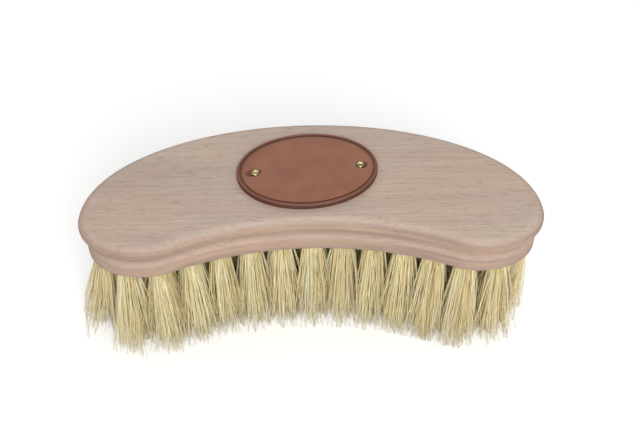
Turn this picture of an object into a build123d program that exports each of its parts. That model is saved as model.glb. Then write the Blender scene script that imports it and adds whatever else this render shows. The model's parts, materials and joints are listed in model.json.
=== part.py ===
from build123d import *
import os
from math import asin, atan2, cos, degrees, hypot, radians, sin

# A kidney-shaped scrubbing brush: a moulded beech block, drilled from below for tufts of
# stiff plant fibre that are folded over flat-wire anchors, and an oval leather badge nailed
# on top. Millimetres, +Z up. The origin is on the surface that the bristle tips stand on,
# under the middle of the block, and +X runs along the brush.

# Driving dimensions of the block
length = 205.0
width = 75.0
block_thickness = 23.5
horn_length = 27.0        # from the fullest point of a horn's end to its lowest point
horn_drop = 20.0          # from the ends of the back curve down to the lowest point of a horn
waist_turn = 22.0         # degrees, slope of the outline where a horn runs into the waist

# Moulded edge of the block, inward from its widest line and down from its top face
top_round = 4.0
lip_drop = 6.3
lip_round = 2.4
groove_depth = 6.0        # to the corner that the cove's radius then rounds off
groove_drop = 11.3
groove_round = 4.0
bead_inset = 2.2
bead_drop = 15.6
foot_round = 2.6

# Bristles
bristle_length = 48.5     # from the underside of the block to the flat of the tips
hole_radius = 4.3
hole_depth = 14.0
rim_wood = 2.9            # wood left between the rim holes and the rounded foot of the block
rim_tufts = 30
waist_row_tufts = 13
back_row_tufts = 10
inner_pitch_share = 0.94  # of the rim's pitch
strand_radius = 1.15      # half the diagonal of a square lock of fibres
strand_sides = 4
strands_around = 7        # round the one in the middle of each tuft
root_sides = 10
tip_gap = 0.5             # between the locks of neighbouring tufts, at their tips
tip_cut = 0.5             # trimmed off the tips, so that they end flat
raggedness = 4.0          # how much shorter the shortest locks are
rim_lean = 1.6            # how far a rim tuft's tips lean outward, twice that at its outside
ragged_step_share = 0.382 # of the raggedness, from one lock to the next

# Flat-wire anchors
anchor_thickness = 0.5
anchor_width = 2.2
anchor_bite = 0.6         # how far each end bites into the wall of its hole
fold_height = 2.5         # fibre doubled over the anchor, at the blind end of the hole

# Leather badge and its nails
badge_length = 63.6
badge_width = 43.6
badge_thickness = 2.6
badge_tilt = 4.4          # degrees
badge_x = -1.5
badge_y = 5.7
badge_edge_round = 0.5
border_inset = 1.15
border_width = 1.0
border_depth = 0.5
nail_spacing = 47.4
nail_shift_x = 0.2
nail_shift_y = -0.1
nail_head_radius = 1.9
nail_head_height = 1.1
nail_rim = 0.25           # straight edge of the head, under its dome
nail_shank_radius = 0.8
nail_length = 10.0        # under the head
nail_point = 2.0

fit = 0.05                # clearance of anchors and nails
fibre_fit = 0.1           # clearance of a packed tuft in its hole
overrun = 5.0             # how far cutters pass the surface that they open

# Places that follow from these
underside = bristle_length
top = bristle_length + block_thickness
horn_x = length / 2 - horn_length
horn_y = -width / 2 + horn_drop
back_rise = width - horn_drop
rim_inset = bead_inset + rim_wood + hole_radius

os.makedirs("parts", exist_ok=True)


class Kidney:
    """The block's outline, drawn in by an inset: a half ellipse along the back, an
    elliptical horn at each end, and a hollow waist arc that leaves both horns in tangent."""

    def __init__(self, inset):
        turn = radians(waist_turn)
        self.back_x = length / 2 - inset
        self.back_y = back_rise - inset
        self.horn_rx = horn_length - inset
        self.horn_ry = horn_drop - inset
        reach = hypot(self.horn_rx * sin(turn), self.horn_ry * cos(turn))
        join_x = horn_x - self.horn_rx**2 * sin(turn) / reach
        join_y = horn_y - self.horn_ry**2 * cos(turn) / reach
        self.waist_radius = join_x / sin(turn)
        self.waist_y = join_y - self.waist_radius * cos(turn)
        self.horn_sweep = -degrees(atan2(-self.horn_ry * cos(turn), -self.horn_rx * sin(turn)))

    def draw(self):
        """Draws the closed outline in the present BuildLine, from the waist's middle."""
        waist = (0, self.waist_y)
        CenterArc(waist, self.waist_radius, 90, -waist_turn)
        EllipticalCenterArc((horn_x, horn_y), self.horn_rx, self.horn_ry,
                            -self.horn_sweep, arc_size=self.horn_sweep)
        EllipticalCenterArc((0, horn_y), self.back_x, self.back_y, 0, arc_size=180)
        EllipticalCenterArc((-horn_x, horn_y), self.horn_rx, self.horn_ry,
                            180, arc_size=self.horn_sweep)
        CenterArc(waist, self.waist_radius, 90 + waist_turn, -waist_turn)


# Where the tufts stand, each turned so that its own +X points outward: a rim row all round,
# from the middle of the waist, and two rows concentric with the waist
rim = Kidney(rim_inset)
with BuildLine() as rim_line:
    rim.draw()
rim_wire = rim_line.wire()
rim_pitch = rim_wire.length / rim_tufts
waist_share = rim.waist_radius * radians(waist_turn) / rim_wire.length

rim_spots = []
for i in range(rim_tufts):
    share = (i / rim_tufts - waist_share) % 1
    along = rim_wire % share
    rim_spots.append(Location(rim_wire @ share, (0, 0, degrees(atan2(-along.X, along.Y)))))

row_gap = (horn_y + rim.back_y - rim.waist_y - rim.waist_radius) / 3
inner_spots = []
for row, count in ((1, waist_row_tufts), (2, back_row_tufts)):
    row_radius = rim.waist_radius + row_gap * row
    for i in range(count):
        angle = (i - (count - 1) / 2) * rim_pitch * inner_pitch_share / row_radius
        place = (row_radius * sin(angle), rim.waist_y + row_radius * cos(angle), 0)
        inner_spots.append(Location(place, (0, 0, 90 - degrees(angle))))
spots = rim_spots + inner_spots

anchor_base = underside + hole_depth - fold_height - anchor_width
anchor_length = (hole_radius + anchor_bite) * 2
tilt = radians(badge_tilt)
badge_seat = Plane((badge_x, badge_y, top), x_dir=(cos(tilt), sin(tilt), 0), z_dir=(0, 0, 1))
nail_x = nail_spacing / 2
nail_places = [(nail_shift_x - nail_x, nail_shift_y), (nail_shift_x + nail_x, nail_shift_y)]
pilot_depth = nail_length - badge_thickness + fit


def write(part, name):
    """Labels a finished piece and writes its STEP file."""
    part.label = name
    export_step(part, f"parts/{name}.step")


# Block: beech, its edge moulded with one swept cutter that leaves a rounded top edge,
# a finger groove and a rounded foot, then drilled from below for the tufts and from above
# for the nails. A pocket at each side of a tuft hole is where the anchor bites.
edge = length / 2
with BuildLine() as edge_line:
    Kidney(0).draw()

with BuildPart() as block:
    with BuildSketch(Plane.XY.offset(underside)):
        with BuildLine():
            Kidney(0).draw()
        make_face()
    extrude(amount=block_thickness)
    with BuildSketch(Plane((0, horn_y, 0), x_dir=(1, 0, 0), z_dir=(0, -1, 0))) as cutter:
        with BuildLine():
            moulding = FilletPolyline(
                (edge - top_round - overrun, top),
                (edge, top),
                (edge, top - lip_drop),
                (edge - groove_depth, top - groove_drop),
                (edge - bead_inset, top - bead_drop),
                (edge - bead_inset, underside),
                (edge - bead_inset - foot_round - overrun, underside),
                radius=(top_round, lip_round, groove_round, lip_round, foot_round),
            )
            Polyline(
                moulding @ 0,
                (edge - top_round - overrun, top + overrun),
                (edge + overrun, top + overrun),
                (edge + overrun, underside - overrun),
                (edge - bead_inset - foot_round - overrun, underside - overrun),
                moulding @ 1,
            )
        make_face()
    sweep(cutter.sketch, path=edge_line.wire(), mode=Mode.SUBTRACT)
    with BuildSketch(Plane.XY.offset(underside)):
        with Locations(*spots):
            Circle(hole_radius)
    extrude(amount=hole_depth, mode=Mode.SUBTRACT)
    with BuildSketch(Plane.XY.offset(anchor_base - fit)):
        with Locations(*spots):
            Rectangle(anchor_thickness + fit * 2, anchor_length + fit * 2)
    extrude(amount=anchor_width + fit * 2, mode=Mode.SUBTRACT)
    with BuildSketch(badge_seat):
        with Locations(*nail_places):
            Circle(nail_shank_radius + fit)
    extrude(amount=-pilot_depth, mode=Mode.SUBTRACT)
write(block.part, "block")

# Anchors: short lengths of flat steel wire, one across each hole, inside the fold of its
# tuft, with both ends bitten into the wood. Each lies along its row, because the wood
# between a rim hole and the finger groove is thin.
with BuildPart() as tuft_anchors:
    with BuildSketch(Plane.XY.offset(anchor_base)):
        with Locations(*spots):
            Rectangle(anchor_thickness, anchor_length)
    extrude(amount=anchor_width)
write(tuft_anchors.part, "tuft_anchors")


# Tufts: fibre folded in half and packed into a hole, then fanned out from its mouth. The
# packed root is one solid, and each strand stands for a lock of fibres.
root_radius = hole_radius - fibre_fit
root_ring = root_radius - strand_radius
tip_ring = rim_pitch * inner_pitch_share / 2 - strand_radius - tip_gap / 2


def fanned_tuft(lean):
    """One tuft at the origin, its tips leaning by a length towards +X, the outer ones more."""
    roots = [Vector(0, 0)]
    for k in range(strands_around):
        roots.append(Vector(root_ring, 0).rotate(Axis.Z, 360 * (k + 0.5) / strands_around))
    with BuildPart() as strands:
        for k, root in enumerate(roots):
            tip = root * (tip_ring / root_ring) + Vector(lean + max(root.X, 0) / root_ring * lean, 0)
            short = raggedness * (k * ragged_step_share % 1) ** 2
            start = Vector(root.X, root.Y, underside + strand_radius)
            end = Vector(tip.X, tip.Y, short - tip_cut)
            with BuildSketch(Plane(start)):
                RegularPolygon(strand_radius, strand_sides)
            with BuildSketch(Plane(end)):
                RegularPolygon(strand_radius, strand_sides)
            loft(ruled=True)
    with BuildPart() as tuft:
        with BuildSketch(Plane.XY.offset(underside)):
            RegularPolygon(root_radius, root_sides)
        extrude(amount=hole_depth - fit)
        with BuildSketch(Plane.XY.offset(anchor_base - fit)):
            Rectangle(anchor_thickness + fit * 2, anchor_length)
        extrude(amount=anchor_width + fit * 2, mode=Mode.SUBTRACT)
        add(strands.part)
        split(bisect_by=Plane.XY, keep=Keep.TOP)
    return tuft.part


for row, row_spots, model in (
    ("rim", rim_spots, fanned_tuft(rim_lean)),
    ("inner", inner_spots, fanned_tuft(0)),
):
    for i, spot in enumerate(row_spots):
        with BuildPart() as tuft:
            with Locations(spot):
                add(model)
        write(tuft.part, f"{row}_tuft_{i + 1:02d}")
print(f"{len(spots) * (strands_around + 1)} strands, tufts {rim_pitch:.2f} apart along the rim")


# Badge: thick vegetable-tanned leather, stamped out as an oval, its edge eased and a
# border line pressed into its face
with BuildPart() as badge:
    with BuildSketch(badge_seat):
        Ellipse(badge_length / 2, badge_width / 2)
    extrude(amount=badge_thickness)
    fillet(badge.edges().group_by(Axis.Z)[-1], badge_edge_round)
    with BuildSketch(badge_seat.offset(badge_thickness)):
        Ellipse(badge_length / 2 - border_inset, badge_width / 2 - border_inset)
        inner = border_inset + border_width
        Ellipse(badge_length / 2 - inner, badge_width / 2 - inner, mode=Mode.SUBTRACT)
    extrude(amount=-border_depth, mode=Mode.SUBTRACT)
    with BuildSketch(badge_seat):
        with Locations(*nail_places):
            Circle(nail_shank_radius + fit)
    extrude(amount=badge_thickness, mode=Mode.SUBTRACT)
write(badge.part, "badge")

# Nails: two brass pins with domed heads, through the badge and into the block
dome_height = nail_head_height - nail_rim
dome_radius = (nail_head_radius**2 + dome_height**2) / (dome_height * 2)
dome_turn = degrees(asin(nail_head_radius / dome_radius))
with BuildPart() as nail:
    with BuildSketch(Plane.XZ):
        with BuildLine():
            CenterArc((0, nail_head_height - dome_radius), dome_radius, 90, -dome_turn)
            Polyline(
                (0, nail_head_height),
                (0, -nail_length),
                (nail_shank_radius, nail_point - nail_length),
                (nail_shank_radius, 0),
                (nail_head_radius, 0),
                (nail_head_radius, nail_rim),
            )
        make_face()
    revolve(axis=Axis.Z)

with BuildPart() as badge_nails:
    with Locations(badge_seat.offset(badge_thickness)):
        with Locations(*nail_places):
            add(nail.part)
write(badge_nails.part, "badge_nails")
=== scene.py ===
import json
import math
import random

import bmesh
import bpy
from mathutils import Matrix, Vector

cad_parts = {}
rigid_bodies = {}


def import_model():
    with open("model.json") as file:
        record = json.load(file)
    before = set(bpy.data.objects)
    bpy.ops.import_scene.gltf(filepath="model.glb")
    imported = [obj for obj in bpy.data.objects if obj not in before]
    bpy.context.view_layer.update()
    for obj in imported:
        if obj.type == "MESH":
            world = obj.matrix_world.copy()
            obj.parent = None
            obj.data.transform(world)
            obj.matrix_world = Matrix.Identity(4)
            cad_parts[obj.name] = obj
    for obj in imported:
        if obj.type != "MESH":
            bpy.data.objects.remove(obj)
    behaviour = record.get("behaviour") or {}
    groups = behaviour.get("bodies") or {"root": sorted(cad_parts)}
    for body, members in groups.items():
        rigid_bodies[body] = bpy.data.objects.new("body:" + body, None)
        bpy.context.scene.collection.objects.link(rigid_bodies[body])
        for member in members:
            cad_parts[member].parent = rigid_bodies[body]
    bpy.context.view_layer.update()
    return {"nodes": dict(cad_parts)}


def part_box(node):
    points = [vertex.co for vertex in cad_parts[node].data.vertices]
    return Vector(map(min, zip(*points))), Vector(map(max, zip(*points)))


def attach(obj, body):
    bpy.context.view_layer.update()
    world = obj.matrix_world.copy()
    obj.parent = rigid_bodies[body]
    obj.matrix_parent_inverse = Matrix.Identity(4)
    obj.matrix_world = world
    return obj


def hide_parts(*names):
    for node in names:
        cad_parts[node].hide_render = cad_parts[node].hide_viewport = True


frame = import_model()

bpy.ops.object.select_all(action="DESELECT")


# The view: a little above the brush, from its waist side, through a short telephoto lens,
# so that the horns stand nearer than the bulging back.
camera_place = Vector((-0.0046, -0.3350, 0.4493))
camera_target = Vector((0.00404, -0.00082, 0.051))
camera_data = bpy.data.cameras.new("camera")
camera_data.sensor_width = 36
camera_data.lens = 63.4
camera = bpy.data.objects.new("camera", camera_data)
camera.location = camera_place
camera.rotation_euler = (camera_target - camera_place).to_track_quat("-Z", "Y").to_euler()
bpy.context.collection.objects.link(camera)
bpy.context.scene.camera = camera


# The block: one piece of bare beech, sawn to a kidney shape and moulded all round with a
# rounded lip, a finger groove and a rounded foot. Its underside is drilled for the tufts.
block_low, block_high = (Vector(corner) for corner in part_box("block"))
length = block_high.x - block_low.x
width = block_high.y - block_low.y
block_top = block_high.z
underside = block_low.z
thickness = block_top - underside
horn_length = 0.027               # from the fullest point of a horn's end to its lowest point
horn_drop = 0.020                 # from the back curve's ends down to the horn's lowest point
waist_turn = math.radians(22)     # slope of the outline where a horn runs into the waist
horn_x = length / 2 - horn_length
horn_y = horn_drop - width / 2
edge_corners = (                  # inward from the widest line, and down from the top
    (0.009, 0), (0, 0), (0, 0.0063), (0.006, 0.0113), (0.0022, 0.0156),
    (0.0022, thickness), (0.0098, thickness),
)
edge_rounds = (0.004, 0.0024, 0.004, 0.0024, 0.0026)
round_steps = 7
waist_steps, horn_steps, back_steps = 48, 40, 100


def rounded_edge():
    """The moulding's section, as (inset, drop) from the top's edge down to the foot's."""
    section = []
    for before, corner, after, size in zip(edge_corners, edge_corners[1:], edge_corners[2:],
                                           edge_rounds):
        corner = Vector(corner)
        one = (Vector(before) - corner).normalized()
        two = (Vector(after) - corner).normalized()
        half = one.angle(two) / 2
        centre = corner + (one + two).normalized() * (size / math.sin(half))
        start = corner + one * (size / math.tan(half)) - centre
        end = corner + two * (size / math.tan(half)) - centre
        for step in range(round_steps + 1):
            section.append(centre + start.slerp(end, step / round_steps) * size)
    return section


def kidney(inset):
    """Points of the block's outline, drawn in by an inset, from the waist's middle."""
    rx, ry = horn_length - inset, horn_drop - inset
    reach = math.hypot(rx * math.sin(waist_turn), ry * math.cos(waist_turn))
    join_x = horn_x - rx * rx * math.sin(waist_turn) / reach
    join_y = horn_y - ry * ry * math.cos(waist_turn) / reach
    waist_radius = join_x / math.sin(waist_turn)
    waist_y = join_y - waist_radius * math.cos(waist_turn)
    sweep = -math.atan2(-ry * math.cos(waist_turn), -rx * math.sin(waist_turn))
    points = []
    for step in range(waist_steps):
        turn = waist_turn * step / waist_steps
        points.append((waist_radius * math.sin(turn), waist_y + waist_radius * math.cos(turn)))
    for step in range(horn_steps):
        turn = sweep * (step / horn_steps - 1)
        points.append((horn_x + rx * math.cos(turn), horn_y + ry * math.sin(turn)))
    for step in range(back_steps):
        turn = math.pi / 2 * step / back_steps
        points.append(((length / 2 - inset) * math.cos(turn),
                       horn_y + (width - horn_drop - inset) * math.sin(turn)))
    mirrored = [(-x, y) for x, y in reversed(points[1:])]
    top_middle = [(0, horn_y + width - horn_drop - inset)]
    return points + top_middle + mirrored


def select_all_in_edit(piece):
    """Opens one piece in edit mode with all of it selected."""
    bpy.ops.object.select_all(action="DESELECT")
    piece.select_set(True)
    bpy.context.view_layer.objects.active = piece
    bpy.ops.object.mode_set(mode="EDIT")
    bpy.ops.mesh.select_all(action="SELECT")


def finish_shape(piece, angle=35):
    """Applies a piece's place to its mesh and shades it smooth up to an angle."""
    bpy.ops.object.mode_set(mode="OBJECT")
    bpy.ops.object.select_all(action="DESELECT")
    piece.select_set(True)
    bpy.context.view_layer.objects.active = piece
    bpy.ops.object.transform_apply(location=True, rotation=True, scale=True)
    bpy.ops.object.shade_smooth_by_angle(angle=math.radians(angle))
    piece.select_set(False)


def apply_modifier(piece, kind, **settings):
    """Adds one modifier to a piece, sets it and applies it."""
    bpy.context.view_layer.objects.active = piece
    modifier = piece.modifiers.new(kind.lower(), kind)
    for setting, value in settings.items():
        setattr(modifier, setting, value)
    bpy.ops.object.modifier_apply(modifier=modifier.name)


section = rounded_edge()
outline_count = len(kidney(0))
bpy.ops.mesh.primitive_cylinder_add(
    vertices=outline_count, radius=1, depth=thickness,
    location=(0, 0, (block_top + underside) / 2))
block = bpy.context.object
block.name = "beech_block"
bpy.ops.object.transform_apply(location=True)
select_all_in_edit(block)
for inset, drop in section[1:-1]:
    bpy.ops.mesh.select_all(action="SELECT")
    bpy.ops.mesh.bisect(plane_co=(0, 0, block_top - drop), plane_no=(0, 0, 1))
bpy.ops.object.mode_set(mode="OBJECT")
outlines = [kidney(inset) for inset, drop in section]
for vertex in block.data.vertices:
    drop = block_top - vertex.co.z
    row = min(range(len(section)), key=lambda k: abs(section[k].y - drop))
    turn = math.atan2(vertex.co.x, -vertex.co.y) / math.tau
    column = round(turn * outline_count) % outline_count
    vertex.co.x, vertex.co.y = outlines[row][column]


def tuft_seat(node):
    """Where a tuft's packed root stands, and which way its tips lean, from its CAD solid."""
    corners = [v.co for v in bpy.data.objects[node].data.vertices]
    highest = max(corner.z for corner in corners)
    root = [corner for corner in corners if corner.z > highest - 0.0001]
    tips = [corner for corner in corners if corner.z < underside / 2]
    seat = sum(root, Vector()) / len(root)
    lean = sum(tips, Vector()) / len(tips) - seat
    return Vector((seat.x, seat.y, 0)), Vector((lean.x, lean.y, 0)), highest


def join(pieces):
    """Joins pieces into the first of them."""
    bpy.ops.object.select_all(action="DESELECT")
    for piece in pieces:
        piece.select_set(True)
    bpy.context.view_layer.objects.active = pieces[0]
    bpy.ops.object.join()
    return bpy.context.object


def cut_away(piece, cutters):
    """Cuts the cutters' shapes out of a piece."""
    cutter = join(cutters)
    apply_modifier(piece, "BOOLEAN", object=cutter, operation="DIFFERENCE", solver="EXACT")
    bpy.data.objects.remove(cutter)


tuft_nodes = sorted(name for name in frame["nodes"] if "_tuft_" in name)
seats = {node: tuft_seat(node) for node in tuft_nodes}
hole_radius = 0.0043
hole_sides = 28
drills = []
for node in tuft_nodes:
    seat, lean, blind_end = seats[node]
    bpy.ops.mesh.primitive_cylinder_add(
        vertices=hole_sides, radius=hole_radius, depth=blind_end - underside,
        location=(seat.x, seat.y, underside))
    drills.append(bpy.context.object)
cut_away(block, drills)
finish_shape(block)


def new_material(name, roughness):
    """A material with its Principled shader, and a function that adds a linked node."""
    material = bpy.data.materials.new(name)
    material.use_nodes = True
    nodes, links = material.node_tree.nodes, material.node_tree.links
    shader = nodes["Principled BSDF"]
    shader.inputs["Roughness"].default_value = roughness

    def add(kind, inputs=None, **settings):
        node = nodes.new(kind)
        for setting, value in settings.items():
            setattr(node, setting, value)
        for socket, value in (inputs or {}).items():
            if isinstance(value, bpy.types.NodeSocket):
                links.new(value, node.inputs[socket])
            else:
                node.inputs[socket].default_value = value
        return node

    return material, shader, add


def link(add_to, socket, source):
    """Links an output to a named socket of a node in the same tree."""
    add_to.id_data.links.new(source, add_to.inputs[socket])


def ramp(add, source, *stops, interpolation="LINEAR"):
    """A colour ramp over a source, with its stops as (position, colour)."""
    node = add("ShaderNodeValToRGB", {"Fac": source})
    node.color_ramp.interpolation = interpolation
    elements = node.color_ramp.elements
    while len(elements) < len(stops):
        elements.new(0.5)
    for element, (position, colour) in zip(elements, stops):
        element.position = position
        if isinstance(colour, (int, float)):
            colour = (colour, colour, colour)
        element.color = (*colour, 1)
    return node.outputs["Color"]


grain = bpy.data.node_groups.new("grain", "ShaderNodeTree")
for socket, kind in (("Stretch", "NodeSocketVector"), ("Detail", "NodeSocketFloat"),
                     ("Roughness", "NodeSocketFloat"), ("Distortion", "NodeSocketFloat")):
    grain.interface.new_socket(socket, in_out="INPUT", socket_type=kind)
grain.interface.new_socket("Fac", in_out="OUTPUT", socket_type="NodeSocketFloat")
grain_in = grain.nodes.new("NodeGroupInput")
grain_out = grain.nodes.new("NodeGroupOutput")
grain_place = grain.nodes.new("ShaderNodeTexCoord")
grain_mapping = grain.nodes.new("ShaderNodeMapping")
grain_noise = grain.nodes.new("ShaderNodeTexNoise")
grain_noise.inputs["Scale"].default_value = 1.0
grain.links.new(grain_place.outputs["Object"], grain_mapping.inputs["Vector"])
grain.links.new(grain_in.outputs["Stretch"], grain_mapping.inputs["Scale"])
grain.links.new(grain_mapping.outputs["Vector"], grain_noise.inputs["Vector"])
for socket in ("Detail", "Roughness", "Distortion"):
    grain.links.new(grain_in.outputs[socket], grain_noise.inputs[socket])
grain.links.new(grain_noise.outputs["Fac"], grain_out.inputs["Fac"])


def stretched_noise(add, stretch, detail=3.0, distortion=0.0, roughness=0.5):
    """Noise on Object coordinates, with its own fineness along each axis, in 1/m."""
    noise = add("ShaderNodeGroup", node_tree=grain)
    noise.inputs["Stretch"].default_value = stretch
    noise.inputs["Detail"].default_value = detail
    noise.inputs["Roughness"].default_value = roughness
    noise.inputs["Distortion"].default_value = distortion
    return noise.outputs["Fac"]


def mixed(add, factor, one, two, blend_type="MIX"):
    """Two colours mixed, or one laid over the other."""
    node = add("ShaderNodeMix", data_type="RGBA", blend_type=blend_type)
    tree = node.id_data
    for index, value in ((0, factor), (6, one), (7, two)):
        if isinstance(value, bpy.types.NodeSocket):
            tree.links.new(value, node.inputs[index])
        else:
            node.inputs[index].default_value = value if index == 0 else (*value, 1)
    return node.outputs[2]


beech, shader, add = new_material("bare_beech", 0.62)
bands = stretched_noise(add, (5, 42, 42), detail=4, distortion=0.6)
wood = ramp(add, bands, (0.30, (0.450, 0.338, 0.276)), (0.5, (0.494, 0.388, 0.316)),
            (0.72, (0.535, 0.440, 0.352)))
streaks = stretched_noise(add, (24, 680, 680), detail=5, roughness=0.62)
wood = mixed(add, 0.5, wood, ramp(add, streaks, (0.32, 0.40), (0.62, 0.56)), "OVERLAY")
geometry = add("ShaderNodeNewGeometry")
facing = add("ShaderNodeSeparateXYZ", {"Vector": geometry.outputs["Normal"]})
sideways = add("ShaderNodeMath", {0: 1.0, 1: facing.outputs["Z"]}, operation="SUBTRACT",
               use_clamp=True)
rings = stretched_noise(add, (9, 60, 330), detail=3, distortion=0.4)
edge_wood = ramp(add, rings, (0.36, (0.262, 0.164, 0.124)), (0.5, (0.345, 0.223, 0.168)),
                 (0.62, (0.420, 0.268, 0.178)))
edge_wood = mixed(add, 0.4, edge_wood, ramp(add, streaks, (0.32, 0.40), (0.62, 0.57)),
                  "OVERLAY")
drift = add("ShaderNodeMath", {0: bands, 1: 0.7, 2: sideways.outputs[0]},
            operation="MULTIPLY_ADD")
side_share = ramp(add, drift.outputs[0], (0.47, 0), (1.0, 0.7))
rays = ramp(add, stretched_noise(add, (140, 1500, 1500), detail=1), (0.595, 0), (0.68, 0.42))
wood = mixed(add, rays, wood, (0.290, 0.205, 0.150))
flush = ramp(add, stretched_noise(add, (12, 38, 38), detail=2), (0.42, 0), (0.62, 1.0))
wood = mixed(add, flush, wood, mixed(add, 1.0, wood, (1.03, 0.98, 0.965), "MULTIPLY"))
wood = mixed(add, side_share, wood, edge_wood)
pores = stretched_noise(add, (260, 2300, 2300), detail=1)
wood = mixed(add, ramp(add, pores, (0.62, 0), (0.70, 0.3)), wood, (0.270, 0.180, 0.130))
link(shader, "Base Color", wood)
relief = add("ShaderNodeBump", {"Strength": 0.25, "Distance": 0.0002, "Height": streaks})
link(shader, "Normal", relief.outputs["Normal"])
block.data.materials.clear()
block.data.materials.append(beech)
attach(block, "root")
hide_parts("block")


# The anchors: short lengths of flat steel wire, one across the bottom of each hole. They
# hide inside the folded tufts, so they keep their CAD shape and get drawn steel.
wire_steel, shader, add = new_material("drawn_wire_steel", 0.35)
shader.inputs["Metallic"].default_value = 1.0
drawn = stretched_noise(add, (900, 900, 6000))
steel = ramp(add, drawn, (0.35, (0.38, 0.38, 0.39)), (0.65, (0.55, 0.55, 0.56)))
link(shader, "Base Color", steel)
anchors = bpy.data.objects["tuft_anchors"]
anchors.data.materials.clear()
anchors.data.materials.append(wire_steel)


# The tufts: bundles of stiff cream plant fibre, folded in half, packed into the holes and
# left to fan out. Every fibre is its own tapered strand, bent a little, and cut by hand,
# so the tips are ragged and some fibres stray.
fibres_in_tuft = 360
fibre_steps = 5
fibre_sides = 3
fibre_radius = 0.00021
fibre_taper = 0.45                # share of its girth that a fibre loses down to its tip
fibre_bow = 0.001
packing_gap = 0.0003              # between the packed fibres and the wall of their hole
root_rise = 0.003                 # how far up into the hole the fibres are drawn
packing_turn = 2.39996            # the golden angle, which packs the roots evenly
packing_jitter = 0.2
fan_least, fan_most = 0.8, 1.3
lean_out, fan_out = 0.0025, 0.0065
left_end_fan, right_end_fan = 0.15, -0.95
right_end_pull = 0.0035
horn_splay, splay_place, splay_reach = 0.0045, 0.054, 0.02
loose_place, looseness = 0.062, 0.5
stray_share, stray_share_left = 0.06, 0.07
stray_out, stray_out_left = 0.002, 0.004
stray_scatter_out, stray_scatter_side = 0.0035, 0.005
tip_scatter = 0.0017
tip_reach = 0.0165                # the furthest that a tip strays outward from its root
trim_least, trim_scatter = 0.0003, 0.0012
short_share, short_most = 0.28, 0.006
first_seed = 4100
packed_radius = hole_radius - packing_gap


def fibre_tuft(node, number):
    """The fibres of one tuft, as three-sided strands with a tone and a share along each."""
    seat, lean, blind_end = seats[node]
    on_rim = node.startswith("rim")
    outward = lean.normalized() if on_rim else Vector((1, 0, 0))
    across = Vector((-outward.y, outward.x, 0))
    rng = random.Random(first_seed + number)
    end_fan = right_end_fan if outward.x > 0 else left_end_fan
    flare = rng.uniform(fan_least, fan_most) + end_fan * abs(outward.x)
    drawn_in = right_end_pull * max(0, outward.x) ** 2
    stray_chance, stray_reach = stray_share, 0
    if on_rim:
        stray_chance += stray_share_left * max(0, -outward.x)
        stray_reach = stray_out + stray_out_left * max(0, -outward.x)
    off_horn = (abs(seat.x) - splay_place) / splay_reach
    splay = horn_splay * math.exp(-off_horn ** 2) * max(0, -outward.y)
    looser = looseness if abs(seat.x) > loose_place else 0
    points, faces, tones, alongs = [], [], [], []
    for k in range(fibres_in_tuft):
        spot = packed_radius * math.sqrt((k + 0.5) / fibres_in_tuft)
        turn = k * packing_turn + rng.uniform(-packing_jitter, packing_jitter)
        out, side = spot * math.cos(turn), spot * math.sin(turn)
        spread = rng.uniform(0.4, 1.3) + looser * rng.random()
        tip_out = out * (1 + spread) + rng.gauss(0, tip_scatter)
        tip_side = side * (1 + spread) + rng.gauss(0, tip_scatter)
        if on_rim:
            tip_out += splay - drawn_in + flare * (
                lean_out + max(0, out) / packed_radius * rng.uniform(0, fan_out))
        if rng.random() < stray_chance:
            tip_out += rng.gauss(stray_reach, stray_scatter_out)
            tip_side += rng.gauss(0, stray_scatter_side)
        tip_out = min(tip_out, tip_reach)
        short = abs(rng.gauss(0, trim_scatter)) + trim_least
        if rng.random() < short_share:
            short += rng.uniform(0, short_most)
        bow_out, bow_side = rng.gauss(0, fibre_bow), rng.gauss(0, fibre_bow)
        # painted shade: the inner tufts, seen only in the shaded gaps between the rim tufts, take
        # only the warmer, deeper straw tones
        tone = rng.random() if on_rim else rng.uniform(0.08, 0.42)
        size = fibre_radius * rng.uniform(0.75, 1.3)
        top = underside + root_rise
        fall = top - short
        base = len(points)
        for step in range(fibre_steps + 1):
            share = step / fibre_steps
            eased = share ** 1.15
            bow = 4 * share * (1 - share)
            centre = (seat + outward * (out + (tip_out - out) * eased + bow_out * bow)
                      + across * (side + (tip_side - side) * eased + bow_side * bow))
            centre.z = top - fall * share
            girth = size * (1 - fibre_taper * share)
            for corner in range(fibre_sides):
                angle = turn + corner * math.tau / fibre_sides
                points.append(centre + Vector((math.cos(angle), math.sin(angle), 0)) * girth)
                tones.append(tone)
                alongs.append(share)
        for step in range(fibre_steps):
            for corner in range(fibre_sides):
                one = base + step * fibre_sides + corner
                two = base + step * fibre_sides + (corner + 1) % fibre_sides
                faces.append((one, one + fibre_sides, two + fibre_sides, two))
        last = base + fibre_steps * fibre_sides
        faces.append(tuple(range(base, base + fibre_sides)))
        faces.append(tuple(range(last + fibre_sides - 1, last - 1, -1)))
    mesh = bpy.data.meshes.new(f"{node}_fibres")
    mesh.from_pydata(points, [], faces)
    for name, values in (("tone", tones), ("along", alongs)):
        attribute = mesh.attributes.new(name, "FLOAT", "POINT")
        attribute.data.foreach_set("value", values)
    mesh.shade_smooth()
    tuft = bpy.data.objects.new(f"{node}_fibres", mesh)
    bpy.context.collection.objects.link(tuft)
    return tuft


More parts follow.
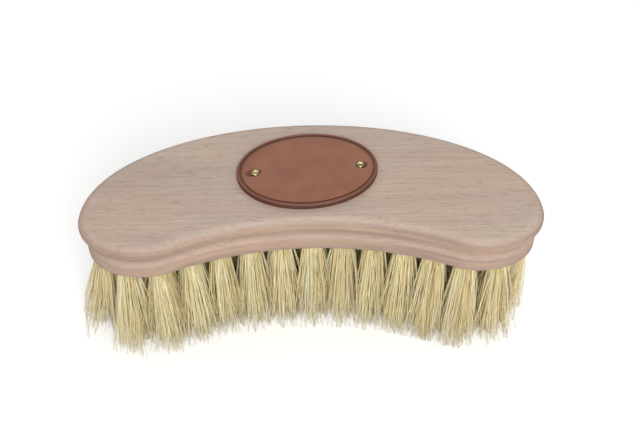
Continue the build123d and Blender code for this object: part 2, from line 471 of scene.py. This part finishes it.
plant_fibre, shader, add = new_material("plant_fibre", 0.5)
tone = add("ShaderNodeAttribute", attribute_name="tone").outputs["Fac"]
along = add("ShaderNodeAttribute", attribute_name="along").outputs["Fac"]
straw = ramp(add, tone, (0.0, (0.78, 0.58, 0.27)), (0.12, (0.88, 0.72, 0.38)),
             (0.5, (0.91, 0.80, 0.47)), (0.85, (0.93, 0.875, 0.60)), (1.0, (0.84, 0.81, 0.57)))
blotches = stretched_noise(add, (400, 400, 90))
straw = mixed(add, 0.35, straw, ramp(add, blotches, (0.35, 0.40), (0.65, 0.58)), "OVERLAY")
# painted shade: the fibres are darkened and warmed towards their roots, where they stand in the
# shade under the block
straw = mixed(add, ramp(add, along, (0.0, 0.3), (0.25, 0.0)), straw, (0.75, 0.60, 0.30),
              "MULTIPLY")
link(shader, "Base Color", straw)
for number, node in enumerate(tuft_nodes):
    tuft = fibre_tuft(node, number)
    tuft.data.materials.append(plant_fibre)
    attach(tuft, "root")
    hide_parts(node)


# The badge: an oval stamped from thick vegetable-tanned leather, its cut edge burnished
# dark and a border line pressed into its face. It is nailed on by hand, a little askew,
# and the leather is dented where the nails were hammered home.
badge_low, badge_high = (Vector(corner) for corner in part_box("badge"))
badge_middle = (badge_low + badge_high) / 2
badge_middle.z = 0
badge_top = badge_high.z
badge_tilt = math.radians(4.4)
badge_long, badge_short = 0.0318, 0.0218
badge_sides = 160
border_middle = 0.0016            # in from the cut edge
nail_spacing, nail_shift = 0.0474, (0.0002, -0.0001)
dent_depth = 0.0006


def stacked_rings(name, middle, turn, rings, vertices):
    """A closed piece raised from a flat oval through rings of (long, short, height)."""
    along = Vector((math.cos(turn), math.sin(turn), 0))
    across = Vector((-along.y, along.x, 0))
    long, short, height = rings[0]
    bpy.ops.mesh.primitive_circle_add(
        vertices=vertices, radius=1, fill_type="NGON",
        location=(middle.x, middle.y, height), rotation=(0, 0, turn))
    piece = bpy.context.object
    piece.name = name
    piece.scale = (long, short, 1)
    bpy.ops.object.transform_apply(location=True, rotation=True, scale=True)
    select_all_in_edit(piece)
    for next_long, next_short, height in rings[1:]:
        bpy.ops.mesh.inset(thickness=0)
        form = bmesh.from_edit_mesh(piece.data)
        for vertex in form.verts:
            if vertex.select:
                away = vertex.co - middle
                vertex.co = (middle + along * (away.dot(along) / long * next_long)
                             + across * (away.dot(across) / short * next_short))
                vertex.co.z = height
        bmesh.update_edit_mesh(piece.data)
        long, short = next_long, next_short
    bpy.ops.mesh.select_all(action="SELECT")
    bpy.ops.mesh.fill_holes(sides=0)
    bpy.ops.mesh.normals_make_consistent(inside=False)
    return piece


# each ring: how far in from the cut edge, and how far below the face
badge_rings = [(badge_long - inward, badge_short - inward, badge_top - below)
               for inward, below in (
                   (0, badge_top - badge_low.z), (0, 0.0006), (0.00012, 0.0002), (0.0005, 0),
                   (0.00105, 0), (0.00115, 0.0001), (0.0012, 0.00045), (0.00165, 0.0005),
                   (0.0021, 0.00045), (0.00215, 0.0001), (0.00225, 0), (0.0040, 0))]
badge = stacked_rings("leather_badge", badge_middle, badge_tilt, badge_rings, badge_sides)
finish_shape(badge, 50)
badge_along = Vector((math.cos(badge_tilt), math.sin(badge_tilt), 0))
badge_across = Vector((-badge_along.y, badge_along.x, 0))
nail_spots = [badge_middle + badge_along * (nail_shift[0] + side * nail_spacing / 2)
              + badge_across * nail_shift[1] for side in (-1, 1)]
dents = []
for spot, beside, half_long, half_short, turn in (
        (nail_spots[0], -0.0008, 0.0039, 0.0023, 0.2),
        (nail_spots[1], 0.0007, 0.0028, 0.0023, 0)):
    centre = spot + badge_along * beside
    bpy.ops.mesh.primitive_uv_sphere_add(
        segments=40, ring_count=20, radius=1, location=(centre.x, centre.y, badge_top),
        rotation=(0, 0, badge_tilt + turn), scale=(half_long, half_short, dent_depth))
    dents.append(bpy.context.object)
cut_away(badge, dents)
rim_shares = []
for vertex in badge.data.vertices:
    away = vertex.co - badge_middle
    reach = math.hypot(away.dot(badge_along) / (badge_long - border_middle),
                       away.dot(badge_across) / (badge_short - border_middle))
    rim_shares.append(1.0 if reach > 1 else 0.0)
burnish = badge.data.attributes.new("burnish", "FLOAT", "POINT")
burnish.data.foreach_set("value", rim_shares)

leather, shader, add = new_material("waxed_leather", 0.5)
hide = stretched_noise(add, (110, 110, 110), detail=4)
tan = ramp(add, hide, (0.3, (0.240, 0.087, 0.047)), (0.7, (0.292, 0.113, 0.062)))
pores = stretched_noise(add, (2600, 2600, 2600), detail=2)
tan = mixed(add, 0.3, tan, ramp(add, pores, (0.3, 0.40), (0.7, 0.58)), "OVERLAY")
place = add("ShaderNodeTexCoord").outputs["Object"]
height = add("ShaderNodeSeparateXYZ", {"Vector": place}).outputs["Z"]
# painted shade: the leather is darkened where it lies below its face, in the nail dents and the
# pressed border line
recess_shade = add("ShaderNodeMapRange", {"Value": height, "From Min": badge_top - 0.00005,
                                     "From Max": badge_top - 0.0004}).outputs["Result"]
tan = mixed(add, recess_shade, tan, mixed(add, 0.85, tan, (0.36, 0.27, 0.24), "MULTIPLY"))
burnished = add("ShaderNodeAttribute", attribute_name="burnish").outputs["Fac"]
burnished = ramp(add, burnished, (0, 0), (1, 0.75))
tan = mixed(add, burnished, tan, mixed(add, 1.0, tan, (0.66, 0.60, 0.58), "MULTIPLY"))
link(shader, "Base Color", tan)
relief = add("ShaderNodeBump", {"Strength": 0.3, "Distance": 0.00015, "Height": pores})
link(shader, "Normal", relief.outputs["Normal"])
badge.data.materials.append(leather)
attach(badge, "root")
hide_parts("badge")


# The nails: two small brass pins with domed heads, driven through the badge into the wood
# until their heads sit in the dents.
nail_sunk = 0.0002
head_radius, head_height, head_rim = 0.0019, 0.0011, 0.00025
head_edge = 0.0001                # the small bevel under the head
shank_radius, shank_length, point_length = 0.0008, 0.01, 0.002
tip_radius = 0.0001
dome_steps = 9
nail_sides = 40
nail_profile = [(tip_radius, -shank_length), (shank_radius, point_length - shank_length),
                (shank_radius, 0), (head_radius - head_edge, 0), (head_radius, head_edge)]
for step in range(dome_steps):
    turn = math.pi / 2 * step / dome_steps
    nail_profile.append((head_radius * math.cos(turn),
                         head_rim + (head_height - head_rim) * math.sin(turn)))
nails = []
for spot in nail_spots:
    nail_rings = [(radius, radius, badge_top - nail_sunk + rise) for radius, rise in nail_profile]
    nails.append(stacked_rings("brass_nails", spot, 0, nail_rings, nail_sides))
    finish_shape(nails[-1])
nails = join(nails)

brass, shader, add = new_material("brass", 0.26)
shader.inputs["Metallic"].default_value = 1.0
tarnish = stretched_noise(add, (700, 700, 700))
brassy = ramp(add, tarnish, (0.35, (0.30, 0.25, 0.10)), (0.6, (0.66, 0.56, 0.28)))
link(shader, "Base Color", brassy)
nails.data.materials.append(brass)
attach(nails, "root")
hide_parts("badge_nails")


# The stage: a plain pale floor that reads as white, and three soft lamps.
bpy.ops.mesh.primitive_plane_add(size=6, location=(0, 0, 0))
floor = bpy.context.object
floor.name = "floor"
paper, shader, add = new_material("white_floor", 0.9)
shader.inputs["Base Color"].default_value = (0.9, 0.9, 0.9, 1)
shader.inputs["Emission Color"].default_value = (1, 1, 1, 1)
seen = add("ShaderNodeLightPath").outputs["Is Camera Ray"]
lift = add("ShaderNodeMath", {0: seen, 1: 0.25}, operation="MULTIPLY")
link(shader, "Emission Strength", lift.outputs[0])
floor.data.materials.append(paper)

world = bpy.context.scene.world or bpy.data.worlds.new("studio")
bpy.context.scene.world = world
world.use_nodes = True
background = world.node_tree.nodes["Background"]
background.inputs["Color"].default_value = (1, 1, 1, 1)
background.inputs["Strength"].default_value = 0.5


brush_middle = Vector((0, 0, 0.05))


def lamp(name, place, size, power):
    """A square softbox that faces the brush."""
    data = bpy.data.lights.new(name, "AREA")
    data.size = size
    data.energy = power
    softbox = bpy.data.objects.new(name, data)
    softbox.location = place
    facing = (brush_middle - Vector(place)).to_track_quat("-Z", "Y")
    softbox.rotation_euler = facing.to_euler()
    bpy.context.collection.objects.link(softbox)


lamp("key", (0.1, -0.8, 0.85), 0.6, 7.1)
lamp("front", (0.35, -1.1, 0.3), 0.8, 3.2)
lamp("back", (0.1, 0.9, 0.9), 0.8, 2)
bpy.context.scene.view_settings.view_transform = "Standard"
